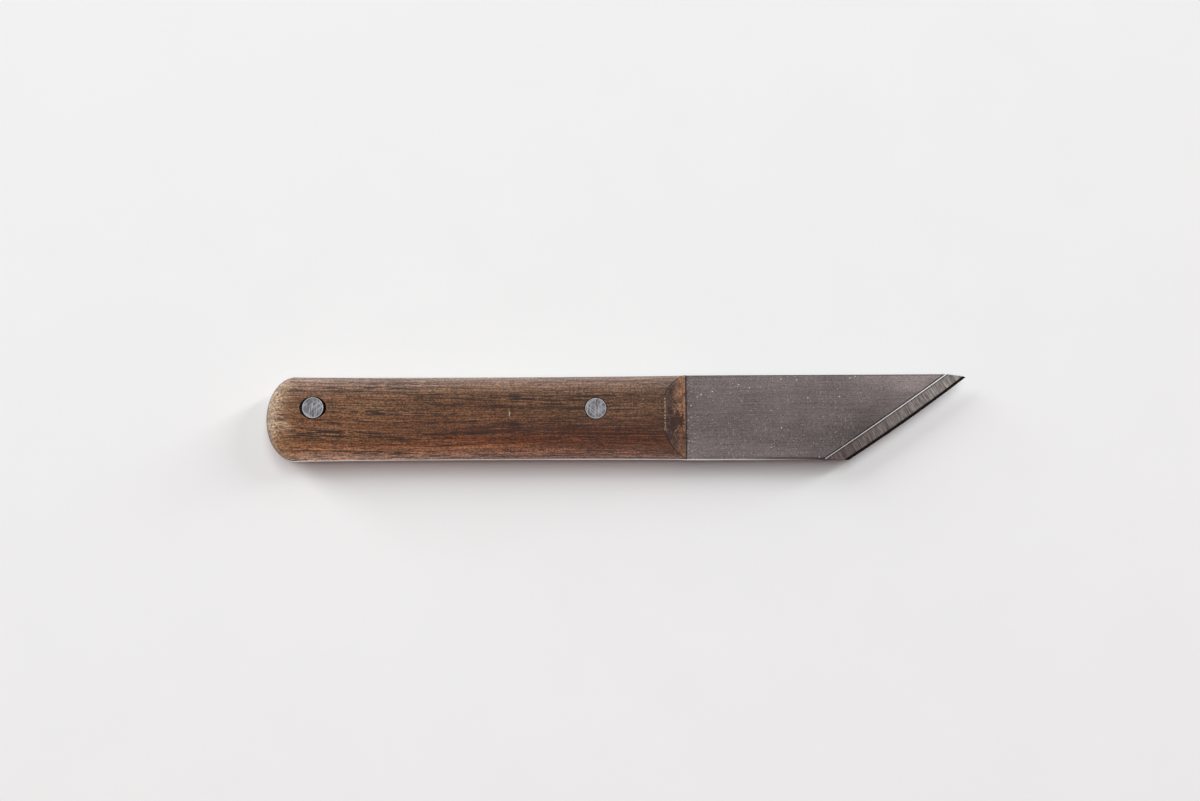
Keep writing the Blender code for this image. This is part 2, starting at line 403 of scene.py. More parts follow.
def grain_places(wood):
    """The place across the handle, which sways along it, and the place in the grain, which also leans."""
    x, y, z = wood.split(wood.place)
    wander = wood.math("SUBTRACT", wood.noise((0.02, 0.08, 0.08)), 0.5)
    sway = wood.times(wander, GRAIN_SWAY)
    across = wood.math("ADD", y, sway)
    from_butt = wood.math("SUBTRACT", x, X_BUTT * MM)
    lean = wood.times(from_butt, wood.math("MULTIPLY_ADD", from_butt, GRAIN_LEAN_FALL, GRAIN_LEAN))
    grain = wood.join(x, wood.math("ADD", across, lean), wood.math("ADD", z, sway))
    return across, grain


def wood_zones(wood, across, grain):
    """The wood's broad colours: zones across the handle and along it, and a wide figure."""
    x = wood.split(wood.place)[0]
    colour = wood.ramp(wood.line(across, *ZONES_ACROSS), WOOD_ZONES)
    figure = wood.noise((0.03, 0.28, 0.28), where=grain, shift=11.0)
    colour = wood.shade(colour, wood.between(figure, 0.25, 0.75, 0.86, 1.14))
    golden = wood.times(
        wood.between(x, *GOLDEN_X),
        wood.between(across, 0.0, -4.5),
        wood.between(across, -7.2, -6.0),
    )
    colour = wood.lay(colour, golden, 0.65, GOLDEN_WOOD)
    from_faded = wood.math("ABSOLUTE", wood.math("SUBTRACT", across, FADED_ACROSS))
    faded = wood.times(wood.between(from_faded, 2.2, 0.5), wood.between(x, *FADED_X))
    colour = wood.lay(colour, faded, 0.5, FADED_WOOD)
    greyed = wood.times(wood.line(x, *GREYED_X), wood.between(across, -5.0, 2.0))
    colour = wood.lay(colour, greyed, 0.45, GREYED_WOOD)

    # Paler at the butt and darker at the blade, and redder on the way along the edge side
    paler = wood.line(x, X_BUTT * MM, X_SHOULDER * MM, 0.45, -0.42)
    paler = wood.times(paler, wood.between(across, 3.0, -6.0, 0.2, 1.0))
    colour = wood.shade(colour, wood.math("ADD", paler, 1.0))
    tint = wood.mix(wood.line(x, X_BUTT * MM, REDDER_X), PALE_TINT, RED_TINT)
    return wood.mix(wood.between(across, -2.0, -7.0), colour, tint, "MULTIPLY")


def wood_fibres(wood, colour, grain):
    """Adds bands on the rounded sides, fibres and fine grit. Gives the colour and the fibres."""
    y = wood.split(wood.place)[1]
    bands = wood.between(wood.noise((0.03, 1.2, 1.2), where=grain, shift=19.0), 0.38, 0.62, 0.86, 1.14)
    on_side = wood.between(wood.math("ABSOLUTE", y), 4.0, 6.0)
    colour = wood.shade(colour, wood.mix(on_side, NO_TINT, bands))
    fibres = wood.noise((0.07, 3.2, 3.2), rough=0.6, where=grain, shift=31.0)
    colour = wood.shade(colour, wood.between(fibres, 0.36, 0.64, 0.65, 1.28))
    colour = wood.mix(wood.between(fibres, 0.5, 0.68, 0.0, 0.14), colour, PALE_FIBRES)
    grit = wood.noise((2.4, 3.0, 3.0), detail=1.0, where=grain, shift=37.0)
    return wood.shade(colour, wood.between(grit, 0.36, 0.64, 0.55, 1.45)), fibres


def wood_pores(wood, colour, across, grain):
    """Adds dark streaks in bands, small pores and pale flecks. Gives the colour and the pores."""
    x = wood.split(wood.place)[0]
    crowd = wood.times(
        wood.between(wood.noise((0.015, 0.9, 0.9), where=grain, shift=43.0), 0.46, 0.56),
        wood.between(across, 9.0, 7.0, 0.5, 1.0),
        wood.line(x, -40.0, 0.0, 1.0, 0.8),
    )
    long_streaks = wood.spots((0.12, 2.3, 2.3), 0.5, 0.5, grain, 23.0)
    short_streaks = wood.spots((0.22, 3.0, 3.0), 0.5, 0.55, grain, 41.0)
    streaks = wood.times(wood.math("MAXIMUM", long_streaks, short_streaks), crowd)
    threads = wood.noise((0.009, 2.4, 2.4), detail=1.0, where=grain, shift=64.0)
    threads = wood.times(wood.between(threads, 0.58, 0.63), wood.between(across, -1.0, 3.0, 0.3, 0.6))
    streaks = wood.math("MAXIMUM", streaks, threads)
    pored = wood.between(across, -2.0, -6.0, 0.2, 0.75)
    pores = wood.times(wood.spots((0.45, 3.0, 3.0), 0.45, pored, grain, 53.0), 0.8)
    pores = wood.math("MAXIMUM", pores, streaks)
    colour = wood.lay(colour, pores, 0.92, DARK_PORES)
    flecked = wood.between(across, -3.0, -6.0, 0.1, 0.3)
    flecks = wood.spots((0.5, 1.2, 1.2), 0.12, flecked, grain, 67.0)
    return wood.lay(colour, flecks, 0.55, PALE_FLECKS), pores


def butt_end_grain_and_highlight(wood, colour, fibres, facing):
    """Adds pale end grain, partly a painted highlight, round the butt, running out along the fibres. Gives
    the colour and its cover.
    """
    x, y, _ = wood.split(wood.place)
    over = wood.math("DIVIDE", y, HALF_WIDTH * MM)
    curve_squared = wood.math("SUBTRACT", 1.0, wood.times(over, over))
    curve = wood.math("SQRT", wood.math("MAXIMUM", curve_squared, 0.0))
    rim = wood.math("SUBTRACT", X_BUTT_CURVE * MM, wood.times(curve, BUTT_DEPTH * MM))
    inwards = wood.math("SUBTRACT", x, rim)
    speckle = wood.noise((1.6, 2.8, 0.35), rough=0.65, shift=71.0)
    ragged = wood.noise((0.2, 1.8, 0.5), 3.0, 0.6, shift=73.0)
    run_out = wood.math("ADD", inwards, wood.uneven(ragged, 3.6))
    cover = wood.times(wood.between(run_out, 7.0, 0.4), wood.between(curve, 0.15, 0.7))
    # The pale tan is partly the end grain's own tone and partly a painted highlight
    tan = wood.mix(wood.between(speckle, 0.38, 0.62), DARK_END_GRAIN, PALE_END_GRAIN_AND_HIGHLIGHT)
    tan = wood.shade(tan, wood.between(fibres, 0.36, 0.64, 0.88, 1.1))
    patches = wood.noise((0.3, 0.8, 0.15), 3.0, 0.6, shift=77.0)
    tan = wood.shade(tan, wood.between(patches, 0.32, 0.68, 0.82, 1.2))
    cut_pores = wood.spots((0.4, 2.0, 1.4), 0.42, 0.45, shift=79.0)
    tan = wood.lay(tan, cut_pores, 0.8, CUT_PORES)
    tan = wood.mix(wood.between(y, -2.5, -6.0), tan, BROWN_TINT, "MULTIPLY")
    # Painted shade darkens the upper arc, and the painted highlight fades where the end faces straight back
    tan = wood.shade(tan, wood.between(y, 4.0, 8.5, 1.0, 0.75))
    tan = wood.shade(tan, wood.between(facing, -0.75, -1.0, 1.0, 0.62))
    colour = wood.lay(colour, cover, 0.9, tan)
    return wood.mix(wood.between(inwards, 0.6, 0.1, 0.0, 0.65), colour, BUTT_RIM), cover


def shoulder_end_grain(wood, colour, facing, seat, side):
    """Adds the sloping shoulder: burnished at its rim, stained in the middle and tan next to the blade.

    A place on it is read as its height above the bonded face and its distance across.
    """
    x, y, z = wood.split(wood.place)
    from_middle = wood.math("ABSOLUTE", y)
    height = wood.times(wood.math("SUBTRACT", z, seat * MM), side)
    blotch = wood.noise((0.6, 0.6, 0.6), 4.0, 0.65, shift=83.0)
    speckle = wood.noise((2.4, 2.4, 2.4), rough=0.6, shift=71.0)

    foot = wood.mix(wood.between(y, -5.0, 2.0), *SHOULDER_FOOT)
    face = wood.mix(wood.between(height, 4.4, 1.2), SHOULDER_RIM, foot)
    face = wood.shade(face, wood.between(blotch, 0.34, 0.66, 0.5, 1.35))
    stain_across = wood.math("DIVIDE", wood.math("SUBTRACT", y, STAIN_ACROSS), STAIN_REACH[0])
    stain_up = wood.math("DIVIDE", wood.math("SUBTRACT", height, STAIN_HEIGHT), STAIN_REACH[1])
    away = wood.vector("LENGTH", wood.join(stain_across, stain_up, 0.0))
    away = wood.math("ADD", away, wood.uneven(blotch, 0.8))
    away = wood.math("ADD", away, wood.uneven(speckle, 0.8))
    face = wood.lay(face, wood.between(away, 1.3, 0.5), 0.85, STAIN)
    face = wood.shade(face, wood.between(speckle, 0.32, 0.68, 0.5, 1.5))
    colour = wood.mix(wood.between(facing, 0.4, 0.6), colour, face)

    # A dark crease where the slope meets the rounded sides, and torn fibres where it meets the flat
    below_slope = wood.vector("DOT_PRODUCT", wood.join(x, height, 1.0), SLOPE_PLANE)
    crease = wood.times(
        wood.between(below_slope, 0.42, 0.16),
        wood.between(facing, 0.66, 0.5),
        wood.between(from_middle, 3.6, 4.6),
    )
    colour = wood.lay(colour, crease, 0.9, CREASE)
    from_line = wood.math("SUBTRACT", x, (X_SHOULDER - SHOULDER_RUN) * MM - TORN_SETBACK)
    frayed = wood.noise((0.6, 2.6, 1.0), rough=0.6, shift=91.0)
    from_line = wood.math("ADD", from_line, wood.uneven(frayed, 0.3))
    torn = wood.times(
        wood.between(wood.math("ABSOLUTE", from_line), 0.2, 0.06),
        wood.between(from_middle, 4.4, 3.4),
        wood.between(frayed, 0.46, 0.58),
    )
    return wood.lay(colour, torn, 0.8, TORN_WOOD)


def nick(wood, colour):
    """Adds a small pale nick across the grain, halfway along the upper flat."""
    x, y, _ = wood.split(wood.place)
    ragged = wood.noise((1.5, 1.6, 1.5), shift=97.0)
    away = wood.math("ADD", wood.math("SUBTRACT", x, NICK_X), wood.uneven(ragged, 0.2))
    mark = wood.times(
        wood.between(wood.math("ABSOLUTE", away), 0.16, 0.06),
        wood.between(y, 1.6, 0.1),
        wood.between(y, -0.8, -0.2),
    )
    return wood.lay(colour, mark, 0.6, BARE_NICK)


def walnut(name, seed, seat, side):
    """Oiled walnut for a scale whose bonded face is at the height seat.

    The side is 1 for the scale above the tang and -1 for the one below it.
    """
    wood = Finish(name, seed)
    across, grain = grain_places(wood)
    colour = wood_zones(wood, across, grain)
    colour, fibres = wood_fibres(wood, colour, grain)
    colour, pores = wood_pores(wood, colour, across, grain)
    facing = wood.split(wood.add("ShaderNodeNewGeometry").outputs["Normal"])[0]
    colour, end_grain = butt_end_grain_and_highlight(wood, colour, fibres, facing)
    colour = shoulder_end_grain(wood, colour, facing, seat, side)
    if side == 1:
        colour = nick(wood, colour)
    wood.set("Base Color", colour)
    wood.set("Roughness", wood.between(fibres, *NOISE_RANGE, 0.54, 0.38))
    wood.set("Specular IOR Level", 0.32)
    wood.set("Sheen Weight", 0.06)
    wood.set("Sheen Roughness", 0.5)
    relief = wood.math("SUBTRACT", wood.times(fibres, 0.4), pores)
    wood.bump(wood.times(relief, wood.line(end_grain, 0.0, 1.0, 1.0, 0.25)), WOOD_RELIEF, 0.6)
    return wood.material


def on_edge(steel):
    """Places along and square to the cutting edge, in millimetres.

    The second is 0 on the ridge above the bevel.
    """
    along = steel.vector("DOT_PRODUCT", steel.place, (*EDGE_ALONG, 0.0))
    plan = steel.vector("MULTIPLY", steel.place, (1.0, 1.0, 0.0))
    centre, radius = edge_arc(BEVEL_RUN, RIDGE_BELLY)
    from_centre = steel.vector("LENGTH", steel.vector("SUBTRACT", plan, (*(centre * MM), 0.0)))
    return along, steel.math("SUBTRACT", from_centre, radius * MM)


def flat_tones(steel, colour):
    """Makes the flats darker towards the ridge's heel end, as painted shade, and brighter along the sides and
    at the tip.
    """
    y = steel.split(steel.place)[1]
    along, out = on_edge(steel)
    # Painted shade: darker in a band beside the ridge, towards its heel end
    dull = steel.times(steel.between(out, -9.0, -0.5), steel.between(along, 56.0, 44.0))
    colour = steel.shade(colour, steel.line(dull, 0.0, 1.0, 1.0, 0.74))
    colour = steel.shade(colour, steel.between(y, 4.0, 9.5, 0.91, 1.18))
    colour = steel.shade(colour, steel.between(y, -4.0, -9.0, 1.0, 1.14))
    colour = steel.shade(colour, steel.between(along, 46.0, 60.0, 1.0, 1.32))
    # Painted shadow: a thin dark line on the flat beside the ridge
    return steel.lay(colour, steel.between(out, -0.6, -0.2), 0.85, RIDGE_SHADOW)


def flat_marks(steel, colour):
    """Adds specks, scratches, pits, painted shade along the sides, and a line of glue and painted shadow and
    crumbs beside the handle.
    """
    x, y, _ = steel.split(steel.place)
    from_handle = steel.math("SUBTRACT", x, X_SHOULDER * MM)
    specked = steel.between(from_handle, 44.0, 20.0, 0.05, 0.4)
    specks = steel.spots((1.7, 2.0, 2.0), 0.22, specked, shift=17.0)
    colour = steel.lay(colour, specks, 0.65, SPECKS)
    sparks = steel.spots((0.8, 0.9, 0.9), 0.16, 0.12, shift=29.0)
    colour = steel.lay(colour, sparks, 0.8, SPARKS)
    leaning = steel.join(steel.vector("DOT_PRODUCT", steel.place, SCUFF_DIRECTION), x, 0.0)
    scratches = steel.noise((0.7, 4.0, 1.0), where=leaning, shift=47.0)
    scuffed = steel.noise((0.14, 0.2, 0.2), shift=49.0)
    scratches = steel.times(steel.between(scratches, 0.58, 0.68), steel.between(scuffed, 0.55, 0.66))
    colour = steel.lay(colour, scratches, 0.5, SCRATCHES)
    crumbed = steel.between(from_handle, 5.0, 0.6, 0.0, 0.55)
    crumbs = steel.spots((1.4, 2.2, 2.2), 0.36, crumbed, shift=27.0)
    colour = steel.lay(colour, crumbs, 0.6, CRUMBS)
    pits = steel.spots((1.3, 1.3, 1.3), 0.24, 0.25, shift=19.0)
    colour = steel.lay(colour, pits, 0.5, PITS)
    # A dark line beside the handle: partly glue, partly painted shadow of the wood's step
    ragged = steel.uneven(steel.noise((1.0, 1.2, 1.0), 3.0, 0.6, shift=39.0), 0.35)
    glue_and_step_shadow = steel.between(steel.math("ADD", from_handle, ragged), 0.5, 0.3)
    colour = steel.lay(colour, glue_and_step_shadow, 0.8, GLUE_AND_SHADOW_LINE)
    # Painted shade: dark lines along the flat's edges, on the edge side and the spine side
    arris_shade = steel.times(steel.between(y, -9.5, -9.8), steel.between(x, *ARRIS_SHADE_X))
    arris_shade = steel.math("MAXIMUM", arris_shade, steel.between(y, 9.6, 9.9, 0.0, 0.5))
    return steel.lay(colour, arris_shade, 0.8, ARRIS_SHADE)


def blade_flat():
    """The bar's flats: dull dark grey, with blotches, fine lengthwise scratches and marks of use."""
    steel = Finish("blade_flat")
    blotch = steel.noise((0.09, 0.13, 0.13), 4.0)
    brushed = steel.noise((0.06, 4.0, 4.0), 3.0, 0.65, shift=5.0)
    grit = steel.noise((2.8, 3.4, 3.4), rough=0.7, shift=9.0)
    colour = steel.shade(FLAT_STEEL, steel.between(blotch, 0.3, 0.7, 0.9, 1.1))
    colour = steel.shade(colour, steel.between(brushed, 0.25, 0.75, 0.82, 1.18))
    colour = steel.shade(colour, steel.between(grit, 0.3, 0.7, 0.73, 1.27))
    colour = flat_tones(steel, colour)
    steel.set("Base Color", flat_marks(steel, colour))
    steel.set("Metallic", 1.0)
    steel.set("Roughness", steel.between(blotch, 0.3, 0.7, 0.5, 0.4))
    steel.bump(steel.math("ADD", brushed, grit), FLAT_RELIEF, 0.5)
    return steel.material


def ground_steel(name, at_heel, at_tip, roughness, contrast):
    """Steel with fine grinding lines square to the edge, with painted shade beside the ridge and at the edge.
    """
    steel = Finish(name)
    along, out = on_edge(steel)
    place = steel.join(along, out, 0.0)
    lines = steel.noise((4.2, 0.14, 1.0), rough=0.7, where=place)
    broken = steel.noise((3.4, 0.7, 1.0), rough=0.6, where=place, shift=5.0)
    wide = steel.noise((0.5, 0.15, 1.0), where=place, shift=7.0)
    tone = steel.mix(steel.line(along, 40.0, 70.0), at_heel, at_tip)
    tone = steel.shade(tone, steel.between(lines, 0.34, 0.66, 1 - contrast, 1 + contrast))
    tone = steel.shade(tone, steel.between(broken, 0.34, 0.66, 1 - contrast / 2, 1 + contrast / 2))
    tone = steel.shade(tone, steel.between(wide, 0.3, 0.7, 0.96, 1.04))
    # Painted shade: a dark band just below the ridge, and darkening towards the edge
    by_ridge = steel.times(steel.between(out, 0.14, 0.2), steel.between(out, 0.5, 0.3), 0.55)
    by_edge = steel.between(out, 2.4, 2.8, 0.0, 0.4)
    steel.set("Base Color", steel.mix(steel.math("MAXIMUM", by_ridge, by_edge), tone, GROUND_PAINTED_SHADE))
    steel.set("Metallic", 1.0)
    steel.set("Roughness", roughness)
    steel.bump(lines, GROUND_RELIEF, 0.6)
    return steel.material


def bar_side():
    """The bar's sides, sanded bright along the handle and left dark towards the heel of the edge, with a
    painted highlight along their top and painted shade below it and at the heel.
    """
    steel = Finish("bar_side")
    x, y, z = steel.split(steel.place)
    top = BLADE_HIGH.z * MM
    lines = steel.noise((0.12, 6.0, 9.0), 4.0, 0.6)
    patches = steel.noise((0.1, 0.4, 0.4), 3.0, 0.6, shift=3.0)
    # Painted highlight: a near-white strip along the top of the side; the steel below it is darkened as
    # painted shade
    colour = steel.mix(steel.between(z, top - 1.3, top - 0.8), PLAIN_SIDE, SIDE_HIGHLIGHT)
    colour = steel.shade(colour, steel.between(lines, 0.25, 0.75, 0.75, 1.12))
    colour = steel.shade(colour, steel.between(patches, 0.3, 0.7, 0.8, 1.06))
    rubbed_to = steel.line(y, -1.0, 1.0, RUBBED_TO_X, X_SHOULDER * MM)
    dark = steel.between(steel.math("SUBTRACT", x, rubbed_to), -8.0, 8.0, 0.0, 0.85)
    colour = steel.mix(dark, colour, DARK_SIDE)
    # Painted shade: a near-black patch on the edge side at the heel
    heel = steel.times(steel.between(x, *DARK_HEEL_X), steel.between(y, 0.0, -5.0))
    steel.set("Base Color", steel.lay(colour, heel, 0.9, DARK_HEEL))
    steel.set("Metallic", 1.0)
    steel.set("Roughness", 0.6)
    steel.bump(lines, GROUND_RELIEF, 0.6)
    return steel.material


def aluminium(name, middle, radius):
    """A pin's end sanded flush: dull, scratched every way, and with a painted highlight round the rim."""
    metal = Finish(name)
    x, y, z = metal.split(metal.place)
    scratches = 0.0
    for turn in SCRATCH_TURNS:
        cosine, sine = math.cos(turn), math.sin(turn)
        along = metal.vector("DOT_PRODUCT", metal.place, (cosine, sine, 0.0))
        over = metal.vector("DOT_PRODUCT", metal.place, (-sine, cosine, 0.0))
        lines = metal.noise((0.3, 4.4, 1.0), 1.0, 0.6, metal.join(along, over, z), turn * SCRATCH_SHIFT)
        scratches = metal.math("MAXIMUM", scratches, lines)
    colour = metal.shade(PIN_METAL, metal.between(scratches, 0.48, 0.72, 0.5, 1.7))
    plan = metal.join(x, y, 0.0)
    out = metal.vector("LENGTH", metal.vector("SUBTRACT", plan, (middle.x * MM, middle.y * MM, 0.0)))
    # A painted highlight round the rim
    rim = metal.between(out, radius * MM - 0.3, radius * MM - 0.16)
    metal.set("Base Color", metal.lay(colour, rim, 0.5, PIN_RIM_HIGHLIGHT))
    metal.set("Metallic", 1.0)
    metal.set("Roughness", 0.42)
    metal.bump(scratches, PIN_RELIEF, 0.6)
    return metal.material


def adhesive():
    """Cured epoxy, dark with sanding dust."""
    glue = Finish("adhesive")
    glue.set("Base Color", glue.ramp(glue.noise((1.5, 1.5, 1.5), 3.0, 0.6), GLUE_DUST))
    glue.set("Roughness", 0.4)
    return glue.material


def floor_finish():
    """Plain pale card."""
    card = Finish("pale_floor")
    card.set("Base Color", card.mix(card.noise((0.05, 0.05, 0.05), 3.0), *FLOOR_CARD))
    card.set("Roughness", 0.9)
    card.set("Specular IOR Level", 0.1)
    return card.material


def add_piece(name, bm, materials):
    """A piece made from bm, with its faces turned outwards."""
    bmesh.ops.recalc_face_normals(bm, faces=bm.faces)
    mesh = bpy.data.meshes.new(name)
    bm.to_mesh(mesh)
    bm.free()
    piece = bpy.data.objects.new(name, mesh)
    for material in materials:
        mesh.materials.append(material)
    bpy.context.scene.collection.objects.link(piece)
    return piece


def ease_edges(piece, width):
    """Adds a modifier that rounds the piece's edges."""
    arris = piece.modifiers.new("arris", "BEVEL")
    arris.width = width
    arris.segments = ARRIS_STEPS
    return arris


def settle(piece, sharp_angle, cutters=()):
    """Applies the piece's modifiers, shades it smooth up to the angle and removes what cut its bores."""
    graph = bpy.context.evaluated_depsgraph_get()
    mesh = bpy.data.meshes.new_from_object(piece.evaluated_get(graph), depsgraph=graph)
    piece.modifiers.clear()
    piece.data = mesh
    mesh.name = piece.name
    mesh.shade_smooth()
    mesh.set_sharp_from_angle(angle=math.radians(sharp_angle))
    for cutter in cutters:
        bpy.data.objects.remove(cutter)


def dress(piece, node):
    """Puts the piece in the place of its node: under the root body, with the node hidden."""
    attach(piece, "root")
    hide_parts(node)


def pin_place(node):
    """The middle of a pin, and its radius."""
    low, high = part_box(node)
    return (low + high) / 2, (high.x - low.x) / 2


def cut_bores(piece, gap, rear_stretch=0.0):
    """Cuts the pin holes, with a gap round each pin. The rear one may be worn longer along the handle."""
    cutters = []
    for node, stretch in (("rear_pin", rear_stretch), ("front_pin", 0.0)):
        middle, radius = pin_place(node)
        bm = bmesh.new()
        bmesh.ops.create_cone(
            bm,
            cap_ends=True,
            segments=PIN_SIDES,
            radius1=radius + gap,
            radius2=radius + gap,
            depth=CUTTER_LENGTH,
        )
        wider = 1 + stretch / (radius + gap)
        bmesh.ops.scale(bm, verts=bm.verts, vec=(wider, 1.0, 1.0))
        bmesh.ops.translate(bm, verts=bm.verts, vec=middle)
        cutter = add_piece("bore_cutter", bm, [])
        modifier = piece.modifiers.new("bore", "BOOLEAN")
        modifier.object = cutter
        modifier.operation = "DIFFERENCE"
        cutters.append(cutter)
    return cutters


def half_outline(drawn_in, x_front):
    """Half the handle's plan, from x_front along the spine side to the middle of the butt.

    drawn_in goes from 0 at the tang to 1 at the edge of the flat.
    """
    width = BUTT_WIDTH / 2 + drawn_in * (FLAT_WIDTH / 2 - BUTT_WIDTH / 2)
    depth = BUTT_DEPTH - drawn_in * BUTT_ROUND
    points = []
    for step in range(SIDE_STEPS):
        x = x_front + (X_BUTT_CURVE - x_front) * step / SIDE_STEPS
        share = (X_SHOULDER - x) / (X_SHOULDER - X_BUTT_CURVE)
        taper = HALF_WIDTH + share * (BUTT_WIDTH / 2 - HALF_WIDTH)
        waist = taper - WAIST_DEPTH * math.sin(math.pi * share) ** WAIST_POWER
        points.append((x, waist + drawn_in * (FLAT_WIDTH / 2 - waist)))
    for step in range(BUTT_STEPS + 1):
        turn = math.pi / 2 * step / BUTT_STEPS
        points.append((X_BUTT_CURVE - depth * math.sin(turn), width * math.cos(turn)))
    points[-1] = (points[-1][0], 0.0)
    return points


def strip(bm, first, second):
    """Faces between two rows of points. A row of one point ends the strip in a fan."""
    for index in range(max(len(first), len(second)) - 1):
        corners = []
        for row, order in ((first, (0, 1)), (second, (1, 0))):
            for step in order:
                vert = row[min(index + step, len(row) - 1)]
                if vert not in corners:
                    corners.append(vert)
        bm.faces.new(corners)


def strips(bm, rows):
    """Faces between each row of points and the next."""
    for first, second in zip(rows, rows[1:]):
        strip(bm, first, second)


def row_across(bm, start, end):
    """Points from start to end, both included."""
    between = [start.co.lerp(end.co, step / ACROSS_STEPS) for step in range(1, ACROSS_STEPS)]
    return [start, *(bm.verts.new(co) for co in between), end]


def scale_form():
    """A scale with its bonded face on z = 0, lofted to the flat, with its front on the sloping shoulder."""
    power = 2 / SECTION_POWER
    slope = SHOULDER_RUN / (SCALE_THICKNESS - SHOULDER_STEP)
    angles = [math.pi / 2 * step / ROUND_STEPS for step in range(ROUND_STEPS + 1)]
    angles.append(math.asin((SHOULDER_STEP / SCALE_THICKNESS) ** (1 / power)))
    bm = bmesh.new()
    spine_rings = []
    heel_rings = []
    for angle in sorted(angles):
        drawn_in = 1 - math.cos(angle) ** power
        height = SCALE_THICKNESS * math.sin(angle) ** power
        x_front = X_SHOULDER - max(0.0, height - SHOULDER_STEP) * slope
        half = half_outline(drawn_in, x_front)
        spine = [bm.verts.new((x, y, height)) for x, y in half]
        heel = [bm.verts.new((x, -y, height)) for x, y in half[:-1]]
        spine_rings.append(spine)
        heel_rings.append([*heel, spine[-1]])
    strips(bm, spine_rings)
    strips(bm, heel_rings)
    shoulder = [row_across(bm, spine[0], heel[0]) for spine, heel in zip(spine_rings, heel_rings)]
    strips(bm, shoulder)
    flat = [shoulder[-1]]
    for spine, heel in zip(spine_rings[-1][1:-1], heel_rings[-1][1:-1]):
        flat.append(row_across(bm, spine, heel))
    flat.append([spine_rings[-1][-1]])
    strips(bm, flat)
    bonded = [*reversed(shoulder[0]), *spine_rings[0][1:], *reversed(heel_rings[0][1:-1])]
    bm.faces.new(bonded)
    return bm


def hand_worked(bm, seed):
    """Slight hollows left by hand sanding, everywhere but next to the bonded face."""
    bmesh.ops.recalc_face_normals(bm, faces=bm.faces)
    bm.normal_update()
    for vert in bm.verts:
        if vert.co.z <= SHOULDER_STEP:
            continue
        hollow = 0.5 + 0.5 * noise.noise(vert.co / HAND_WAVE_LENGTH + Vector((seed, seed, seed)))
        vert.co -= vert.normal * HAND_WAVE * hollow


def build_scale(node, seat, turned_over, seed):
    """A wooden scale on its seat, turned over where it is the lower one."""
    bm = scale_form()
    hand_worked(bm, seed)
    if turned_over:
        bmesh.ops.rotate(bm, verts=bm.verts, matrix=Matrix.Rotation(math.pi, 3, "X"))
    bmesh.ops.translate(bm, verts=bm.verts, vec=(0.0, 0.0, seat))
    side = -1 if turned_over else 1
    piece = add_piece(node + "_wood", bm, [walnut(node + "_walnut", seed, seat, side)])
    arris = ease_edges(piece, WOOD_ARRIS)
    arris.limit_method = "ANGLE"
    arris.angle_limit = math.radians(WOOD_ARRIS_ANGLE)
    cutters = cut_bores(piece, WOOD_BORE_GAP, WORN_BORE)
    settle(piece, SMOOTH_ANGLE, cutters)
    dress(piece, node)


def spine_at(x):
    """The spine, which drops to the tip over its last stretch."""
    run = max(0.0, x - (X_TIP - TIP_RUN))
    return HALF_WIDTH - TIP_DROP * (run / TIP_RUN) ** 2


def edge_arc(inset, belly):
    """The centre and radius of an arc that is drawn in from the middle of the edge by inset."""
    radius = EDGE_CHORD**2 / (8 * belly) + belly / 2
    return EDGE_MIDDLE + EDGE_OUTWARD * (EDGE_BELLY - inset - radius), radius


def edge_row(bm, inset, belly, height):
    """Points along the edge or a line above it, from the heel side of the bar to its spine."""
    centre, radius = edge_arc(inset, belly)
    start = math.asin((-HALF_WIDTH - centre.y) / radius)
    y_end = HALF_WIDTH
    for _ in range(SPINE_TRIES):
        end = math.asin((y_end - centre.y) / radius)
        y_end = spine_at(centre.x + radius * math.cos(end))
    row = []
    for step in range(EDGE_STEPS + 1):
        turn = start + (end - start) * step / EDGE_STEPS
        x = centre.x + radius * math.cos(turn)
        y = centre.y + radius * math.sin(turn)
        row.append(bm.verts.new((x, y, height)))
    return row


def finish_new(bm, before, finish):
    """Gives a finish to the faces that weren't there before."""
    for face in set(bm.faces) - before:
        face.material_index = finish


def blade_form():
    """The bar with its tang, ground at the front in a bevel, with a ridge above it and an edge bevel below.

    The edges between its flats and its sides are marked, to be eased.
    """
    low, high = BLADE_LOW.z, BLADE_HIGH.z
    slope = (high - low - EDGE_BEVEL_RISE) / (BEVEL_RUN - EDGE_BEVEL_RUN)
    bm = bmesh.new()
    rows = [
        edge_row(bm, BEVEL_RUN + RIDGE_WIDTH / 2, RIDGE_BELLY, high),
        edge_row(bm, BEVEL_RUN - RIDGE_WIDTH / 2, RIDGE_BELLY, high - slope * RIDGE_WIDTH / 2),
        edge_row(bm, EDGE_BEVEL_RUN, EDGE_BELLY, low + EDGE_BEVEL_RISE),
        edge_row(bm, 0.0, EDGE_BELLY, low),
    ]
    for first, second, finish in zip(rows, rows[1:], (RIDGE, BEVEL, EDGE)):
        before = set(bm.faces)
        strip(bm, first, second)
        finish_new(bm, before, finish)

    half = half_outline(0.0, X_SHOULDER)
    tang = [*half, *((x, -y) for x, y in reversed(half[:-1]))]
    upper = [bm.verts.new((x, y, high)) for x, y in tang]
    lower = [bm.verts.new((x, y, low)) for x, y in tang]
    before = set(bm.faces)
    strip(bm, upper, lower)
    drop = bm.verts.new((X_TIP - TIP_RUN, HALF_WIDTH, low))
    bm.faces.new([upper[0], rows[0][-1], rows[1][-1], drop, lower[0]])
    bm.faces.new([*(row[-1] for row in rows[1:]), drop])
    bm.faces.new([lower[-1], *(row[0] for row in reversed(rows)), upper[-1]])
    finish_new(bm, before, SIDE)
    bm.faces.new([*rows[0], *upper])
    bm.faces.new([*rows[-1], drop, *lower])

    weight = bm.edges.layers.float.new("bevel_weight_edge")
    for line in bm.edges:
        kinds = {face.material_index for face in line.link_faces}
        line[weight] = 1.0 if kinds == {FLAT, SIDE} else 0.0
    return bm


